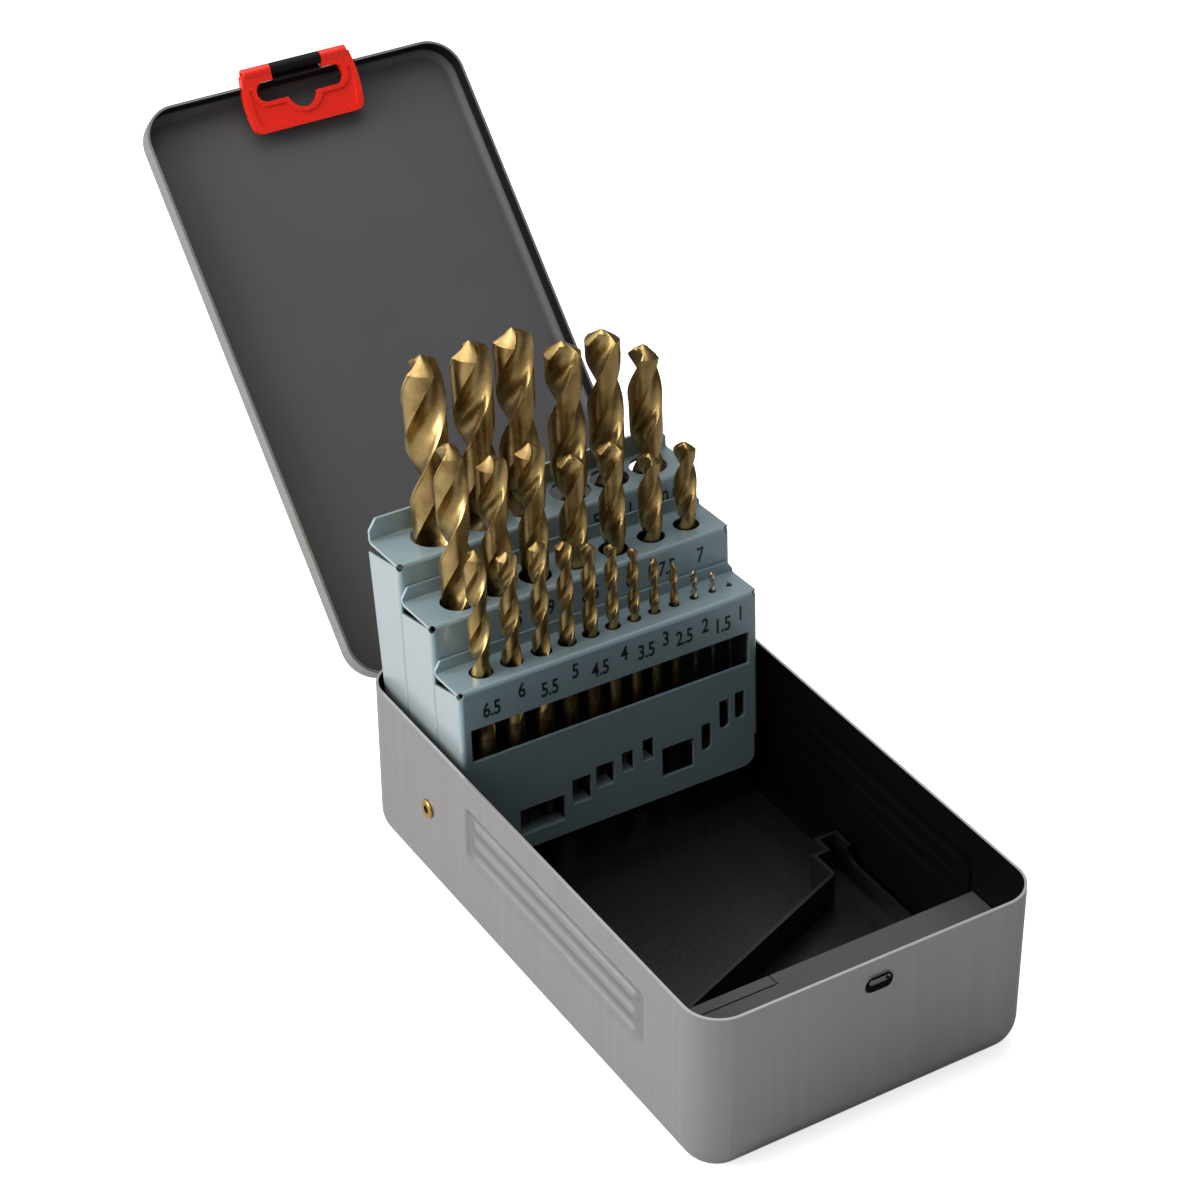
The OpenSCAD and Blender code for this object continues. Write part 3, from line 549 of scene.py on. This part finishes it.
def draw_grip(bm, side, fineness):
    """One ribbed panel, joined to the wall by a flat frame."""
    stand = (at(side * HALF_W, GRIP_Y, GRIP_Z) @ Matrix.Rotation(side * math.pi / 2, 4, "Y")
             @ Matrix.Diagonal((GRIP_HALF_H * MM, GRIP_HALF_L * MM, 1, 1)))
    panel = bmesh.ops.create_grid(bm, x_segments=int(2 * GRIP_HALF_H * fineness),
                                  y_segments=int(GRIP_HALF_L * fineness), size=1.0,
                                  matrix=stand)["verts"]
    rims = [e for e in bm.edges if e.is_boundary
            and all(abs(v.co.x - side * HALF_W * MM) < 1e-6 for v in e.verts)]
    filled = bmesh.ops.triangle_fill(bm, edges=rims, use_beauty=True,
                                     normal=(side, 0, 0))["geom"]
    joint = {g for g in filled if isinstance(g, bmesh.types.BMFace)}
    drawn = {face for v in panel for face in v.link_faces} - joint
    for v in panel:
        spot = v.co / MM
        v.co.x -= side * grip_depth(spot.y - GRIP_Y, spot.z - GRIP_Z) * MM
    for face in drawn | joint:
        face.normal_update()
        if face.normal.x * side < 0:
            face.normal_flip()
        face.smooth = face in drawn


def press_grips(shell, fineness):
    """A copy of the base with ribbed panels drawn in its side walls."""
    bm = bmesh.new()
    bm.from_mesh(shell.data)
    bmesh.ops.remove_doubles(bm, verts=bm.verts, dist=1e-6)
    clear_grip_places(bm)
    for side in (-1, 1):
        draw_grip(bm, side, fineness)
    return bm


def drill_section(scoop_points):
    """A two-flute section of unit radius: margin, cleared land and scooped flute, twice.

    Each point is its reach from the axis and its angle in degrees.
    """
    half = [(1.0, angle) for angle in MARGIN_AT]
    half += [(LAND_REACH, LAND_START + (HEEL - LAND_START) * i / LAND_STEPS)
             for i in range(LAND_STEPS + 1)]
    middle = math.radians((HEEL + 180) / 2)
    centre = Vector((math.cos(middle), math.sin(middle))) * SCOOP_OFFSET
    span = math.acos((SCOOP_OFFSET ** 2 + SCOOP_R ** 2 - 1) / (2 * SCOOP_OFFSET * SCOOP_R))
    for i in range(1, scoop_points):
        way = middle + math.pi + span * (1 - 2 * i / scoop_points)
        spot = centre + Vector((math.cos(way), math.sin(way))) * SCOOP_R
        half.append((min(1.0, spot.length), math.degrees(math.atan2(spot.y, spot.x)) % 360))
    return half + [(reach, angle + 180) for reach, angle in half]


def twist_drill(size, length, flute, scoop_points):
    """A standing twist drill: chamfered shank, two helical flutes, a relieved 118 degree point."""
    section = drill_section(scoop_points)
    r = size / 2
    lead = math.pi * size / math.tan(math.radians(HELIX))
    point = r / math.tan(math.radians(HALF_POINT))
    shank, body = length - flute, flute - point
    bm = bmesh.new()
    order = bm.verts.layers.int.new("order")
    verts = bmesh.ops.create_circle(bm, cap_ends=True, segments=len(section), radius=r)["verts"]
    edges = list(dict.fromkeys(e for v in verts for e in v.link_edges))
    for i, v in enumerate(verts):
        v[order] = i

    def settle(verts, z, reach_of, twist=0.0, relief=0.0):
        """Places a ring's points by their place in the section."""
        for v in verts:
            reach, angle = section[v[order]]
            way = math.radians(angle) + twist
            back = relief * min(1.0, (angle % 180) / HEEL)
            radius = r * reach_of(reach)
            v.co = (radius * math.cos(way), radius * math.sin(way), z - back)

    def rise(edges, *where):
        """Draws the open ring up to its next place."""
        grown = bmesh.ops.extrude_edge_only(bm, edges=edges)["geom"]
        settle([g for g in grown if isinstance(g, bmesh.types.BMVert)], *where)
        return [g for g in grown if isinstance(g, bmesh.types.BMEdge)]

    settle(verts, 0.0, lambda reach: 1 - CHAMFER)
    edges = rise(edges, r * CHAMFER, lambda reach: 1.0)
    edges = rise(edges, shank, lambda reach: 1.0)
    steps = max(FEWEST_RINGS, min(MOST_RINGS, int(body / lead * RINGS_A_TURN)))
    for step in range(1, steps + 1):
        up = body * step / steps
        blend = min(1.0, up / (RUN_OUT * size))
        relief = RELIEF * size * max(0.0, 1 - (body - up) / (RELIEF_START * size))
        edges = rise(edges, shank + up, lambda reach: 1 + (reach - 1) * blend,
                     2 * math.pi * up / lead, relief)
    for left in POINT_RINGS:
        up = body + point * (1 - left)
        edges = rise(edges, shank + up, lambda reach: min(reach, left),
                     2 * math.pi * up / lead, RELIEF * size * left)
    bmesh.ops.contextual_create(bm, geom=edges)
    uv = bm.loops.layers.uv.new("along")
    for face in bm.faces:
        for loop in face.loops:
            loop[uv].uv = (0.0, loop.vert.co.z / length)
    bmesh.ops.scale(bm, vec=(MM, MM, MM), verts=bm.verts)
    return bm


class BitCaseLooks(bpy.types.PropertyGroup):
    """Colours and sizes that a user would change."""

    case_light: bpy.props.StringProperty(
        name="Case light", description="Lighter tone of the case's metallic paint",
        default="#9c9a9a")
    case_dark: bpy.props.StringProperty(
        name="Case dark", description="Darker tone of the case's metallic paint",
        default="#949393")
    rack_colour: bpy.props.StringProperty(
        name="Rack", description="Blue-grey enamel of the rack", default="#768a91")
    latch_colour: bpy.props.StringProperty(
        name="Latch", description="Red of the moulded latch", default="#ea2a1a")
    coat_colour: bpy.props.StringProperty(
        name="Bit coat", description="Gold of the coated bits", default="#bda26b")
    number_height: bpy.props.FloatProperty(
        name="Number height", description="Height of the printed size numbers",
        default=0.0048, min=0.002, max=0.006, unit="LENGTH")
    grip_fineness: bpy.props.IntProperty(
        name="Grip fineness", description="Mesh rows for each millimetre of the grip panel",
        default=3, min=1, max=5)
    scoop_points: bpy.props.IntProperty(
        name="Flute points", description="Points across one flute of a bit",
        default=14, min=8, max=24)


def looks():
    """The scene's colours and sizes."""
    return bpy.context.scene.bit_case_looks


def paint_node(node, material):
    """Gives a CAD piece its finish."""
    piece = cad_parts[node]
    piece.data.materials.clear()
    piece.data.materials.append(material)


class BITCASE_OT_case(bpy.types.Operator):
    """Finishes the pressed base and the lid"""

    bl_idname = "bitcase.case"
    bl_label = "Case Finish"

    def execute(self, context):
        look = looks()
        outside = (look.case_dark, look.case_light)
        base = sheet_steel("Brushed Metallic Base Paint", Matrix.Identity(4), (0, 0, 0.03),
                           outside, ("#040404", "#040404", "#060606"), 0, base=True)
        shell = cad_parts["base_shell"]
        pressed = finish_mesh(press_grips(shell, look.grip_fineness), "base_pressed",
                              Matrix.Identity(4), base, smooth=False, turn_out=False)
        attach(pressed, "base")
        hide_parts("base_shell")
        middle = lid_place() @ Vector((0, 0, (BASE_H + 1) * MM))
        lid = sheet_steel("Brushed Metallic Lid Paint", lid_place().inverted(), tuple(middle),
                          outside, ("#0b0b0c", "#4c4c4e", "#535355"),
                          BASE_H + RIM_GAP + LID_H - 3.2)
        paint_node("lid_shell", lid)
        self.rim_lips(lid)
        return {"FINISHED"}


    def rim_lips(self, material):
        """The lid rim's turned edge on both sides of the latch's barrel."""
        bm = bmesh.new()
        for side in (-1, 1):
            place = at(side * LIP_AT[0], *LIP_AT[1:]) @ Matrix.Diagonal((*LIP_SIZE, 1))
            bmesh.ops.create_cube(bm, size=MM, matrix=place)
        lips = finish_mesh(bm, "rim_lips", lid_place(), material, smooth=False)
        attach(lips, "lid")


class BITCASE_OT_fittings(bpy.types.Operator):
    """Finishes the liner, rack, latch, rivets and wires"""

    bl_idname = "bitcase.fittings"
    bl_label = "Fittings Finish"

    def execute(self, context):
        look = looks()
        enamel = rack_paint((look.rack_colour, "#7f939a"))
        for node in ("rack_front", "rack_middle", "rack_rear", "rack_floor", "rack_rivets"):
            paint_node(node, enamel)
        paint_node("base_liner", liner_plastic())
        paint_node("latch", plain("Moulded Nylon", look.latch_colour, "#dc2315", 0.3,
                                  0.0, 900, 0.001))
        brass = plain("Turned Brass", "#b08d45", "#c9a75c", 0.3, 1.0, 1200, 0.004)
        wire = plain("Drawn Steel Wire", "#4a4846", "#6b6967", 0.35, 1.0, 1200, 0.004)
        for node in ("pivot_rivet_left", "pivot_rivet_right"):
            paint_node(node, brass)
        for node in ("hinge_pin", "latch_pin", "pivot_spacer_left", "pivot_spacer_right"):
            paint_node(node, wire)
        return {"FINISHED"}


class BITCASE_OT_bits(bpy.types.Operator):
    """Makes the twenty-five twist drill bits"""

    bl_idname = "bitcase.bits"
    bl_label = "Twist Drill Bits"

    def execute(self, context):
        look = looks()
        coat = bit_finish("Titanium Nitride Coat", "#94794a", look.coat_colour,
                          "#3a332b", 0.05, 0.32)
        short_coat = bit_finish("Titanium Nitride Coat on a Dark Shank", "#94794a",
                                look.coat_colour, "#47433f", 0.24, 0.32)
        bright = bit_finish("Ground Tool Steel", "#9a8f7c", "#b3a78f", "#8a8580", 0.03, 0.25)
        rack = rack_place()
        for size, length, flute, x, stop in FRONT_BITS:
            self.stand(size, length, flute, rack @ at(x, FRONT_ROW_Y, stop + SEAT_GAP),
                       short_coat if size > 2.2 else bright)
        for size, length, flute, x in MIDDLE_BITS:
            self.stand(size, length, flute,
                       rack @ at(x, MIDDLE_ROW_Y, RACK_STOP + SEAT_GAP), coat)
        lean = Matrix.Rotation(math.radians(-REAR_TILT), 4, "X")
        for size, length, flute, x in REAR_BITS:
            lift = size / 2 * math.sin(math.radians(REAR_TILT)) + SEAT_GAP
            self.stand(size, length, flute,
                       rack @ at(x, REAR_ROW_Y, RACK_STOP) @ lean @ at(0, 0, lift), coat)
        return {"FINISHED"}

    def stand(self, size, length, flute, place, material):
        """One bit on its stop, turned so that its neighbours don't match."""
        node = "bit_" + f"{size:.1f}".replace(".", "_")
        turn = Matrix.Rotation(size * 1.3, 4, "Z")
        bm = twist_drill(size, length, flute, looks().scoop_points)
        piece = finish_mesh(bm, "drill_" + node[4:], place @ turn, material)
        sharpen(piece, 32)
        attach(piece, node)
        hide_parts(node)


class BITCASE_OT_numbers(bpy.types.Operator):
    """Prints the size numbers on the faces of the three steps"""

    bl_idname = "bitcase.numbers"
    bl_label = "Size Numbers"

    def execute(self, context):
        ink = plain("Black Pad Printing Ink", "#0b0b0c", "#131314", 0.45, 0.0, 900, 0.002)
        rows = (("front", FRONT_NUMBERS), ("middle", MIDDLE_NUMBERS), ("rear", REAR_NUMBERS))
        for (row, numbers), (face_y, shelf_z) in zip(rows, STEPS_AT):
            bm = bmesh.new()
            for text, x, z in numbers:
                self.print_number(bm, text, x, face_y, z)
            piece = finish_mesh(bm, "numbers_" + row, rack_place(), ink, smooth=False)
            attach(piece, "rack")
        return {"FINISHED"}

    def print_number(self, bm, text, x, face_y, z):
        """A number as a thin film of ink on the face."""
        height = looks().number_height
        curve = bpy.data.curves.new("number", "FONT")
        curve.body = text
        curve.size = height / CAPITAL
        curve.align_x = "CENTER"
        curve.space_character = NUMBER_SPACE
        curve.offset = NUMBER_WEIGHT
        curve.extrude = NUMBER_FILM
        curve.resolution_u = 6
        maker = bpy.data.objects.new("number", curve)
        bpy.context.scene.collection.objects.link(maker)
        bpy.context.view_layer.update()
        mesh = bpy.data.meshes.new_from_object(maker)
        centred = Matrix.Translation((0, -height / 2, 0))
        place = (at(x, face_y - INK_GAP, z) @ Matrix.Rotation(math.pi / 2, 4, "X")
                 @ Matrix.Diagonal((NUMBER_WIDTH, 1, 1, 1)) @ centred)
        mesh.transform(place)
        bm.from_mesh(mesh)
        bpy.data.objects.remove(maker)
        bpy.data.curves.remove(curve)
        bpy.data.meshes.remove(mesh)


class BITCASE_OT_stage(bpy.types.Operator):
    """Sets the white sweep, the soft lights and the camera"""

    bl_idname = "bitcase.stage"
    bl_label = "Studio"

    def execute(self, context):
        self.sweep()
        for lamp in LAMPS:
            self.lamp(*lamp)
        self.world()
        self.camera()
        scene = context.scene
        scene.view_settings.view_transform = "Standard"
        return {"FINISHED"}

    def sweep(self):
        """A white floor under the case."""
        bm = bmesh.new()
        bmesh.ops.create_grid(bm, x_segments=1, y_segments=1, size=4.0)
        material, tree, shader, place = new_material("White Paper Sweep")
        shader.inputs["Roughness"].default_value = 0.9
        rays = add_node(tree, "ShaderNodeLightPath")
        tree.links.new(mix(tree, rays.outputs["Is Glossy Ray"], (0.9, 0.9, 0.9, 1),
                           (0.4, 0.4, 0.4, 1)), shader.inputs["Base Color"])
        glow = product(tree, rays.outputs["Is Camera Ray"], 0.7)
        shader.inputs["Emission Color"].default_value = (1, 1, 1, 1)
        tree.links.new(glow, shader.inputs["Emission Strength"])
        floor = finish_mesh(bm, "floor_sweep", Matrix.Identity(4), material, smooth=False)

    def lamp(self, name, where, aim, size, watts):
        """A square soft light."""
        data = bpy.data.lights.new(name, "AREA")
        data.size = size
        data.energy = watts
        lamp = bpy.data.objects.new(name, data)
        lamp.location = where
        lamp.rotation_euler = (Vector(aim) - Vector(where)).to_track_quat("-Z", "Y").to_euler()
        bpy.context.scene.collection.objects.link(lamp)

    def world(self):
        """White to the camera, bright on the window side and dim on the room's side."""
        world = bpy.data.worlds.new("White Studio")
        bpy.context.scene.world = world
        world.use_nodes = True
        tree = world.node_tree
        rays = add_node(tree, "ShaderNodeLightPath")
        way = add_node(tree, "ShaderNodeTexCoord")
        side = add_node(tree, "ShaderNodeVectorMath", {"operation": "DOT_PRODUCT"},
                        _0=way.outputs["Generated"], _1=WINDOW_WAY).outputs["Value"]
        light = spread(tree, side, *WINDOW_EDGES, ROOM_LIGHT, 1.0)
        strength = maths(tree, "MAXIMUM", rays.outputs["Is Camera Ray"], light)
        tree.nodes["Background"].inputs["Color"].default_value = (1, 1, 1, 1)
        tree.links.new(strength, tree.nodes["Background"].inputs["Strength"])

    def camera(self):
        """The photograph's viewpoint: from the front left and above, with a long lens."""
        data = bpy.data.cameras.new("Camera")
        data.lens = LENS
        data.sensor_width = SENSOR
        camera = bpy.data.objects.new("Camera", data)
        azimuth, elevation, roll = (math.radians(a) for a in CAMERA_TURN)
        turn = (Matrix.Rotation(azimuth, 4, "Z") @ Matrix.Rotation(math.pi / 2 - elevation, 4, "X")
                @ Matrix.Rotation(roll, 4, "Z"))
        camera.matrix_world = Matrix.Translation(CAMERA_AT) @ turn
        bpy.context.scene.collection.objects.link(camera)
        bpy.context.scene.camera = camera


class BITCASE_PT_panel(bpy.types.Panel):
    """Lists the steps and the looks"""

    bl_label = "Bit Case"
    bl_space_type = "VIEW_3D"
    bl_region_type = "UI"
    bl_category = "Bit Case"

    def draw(self, context):
        look = context.scene.bit_case_looks
        for name in BitCaseLooks.__annotations__:
            self.layout.prop(look, name)
        for step in STEPS:
            self.layout.operator(step.bl_idname)


STEPS = (BITCASE_OT_case, BITCASE_OT_fittings, BITCASE_OT_bits, BITCASE_OT_numbers,
         BITCASE_OT_stage)
CLASSES = (BitCaseLooks,) + STEPS + (BITCASE_PT_panel,)


def register():
    for cls in CLASSES:
        bpy.utils.register_class(cls)
    bpy.types.Scene.bit_case_looks = bpy.props.PointerProperty(type=BitCaseLooks)


def unregister():
    del bpy.types.Scene.bit_case_looks
    for cls in reversed(CLASSES):
        bpy.utils.unregister_class(cls)


def main():
    """Registers the add-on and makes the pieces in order."""
    register()
    for step in ("case", "fittings", "bits", "numbers", "stage"):
        getattr(bpy.ops.bitcase, step)()


if __name__ == "__main__":
    main()
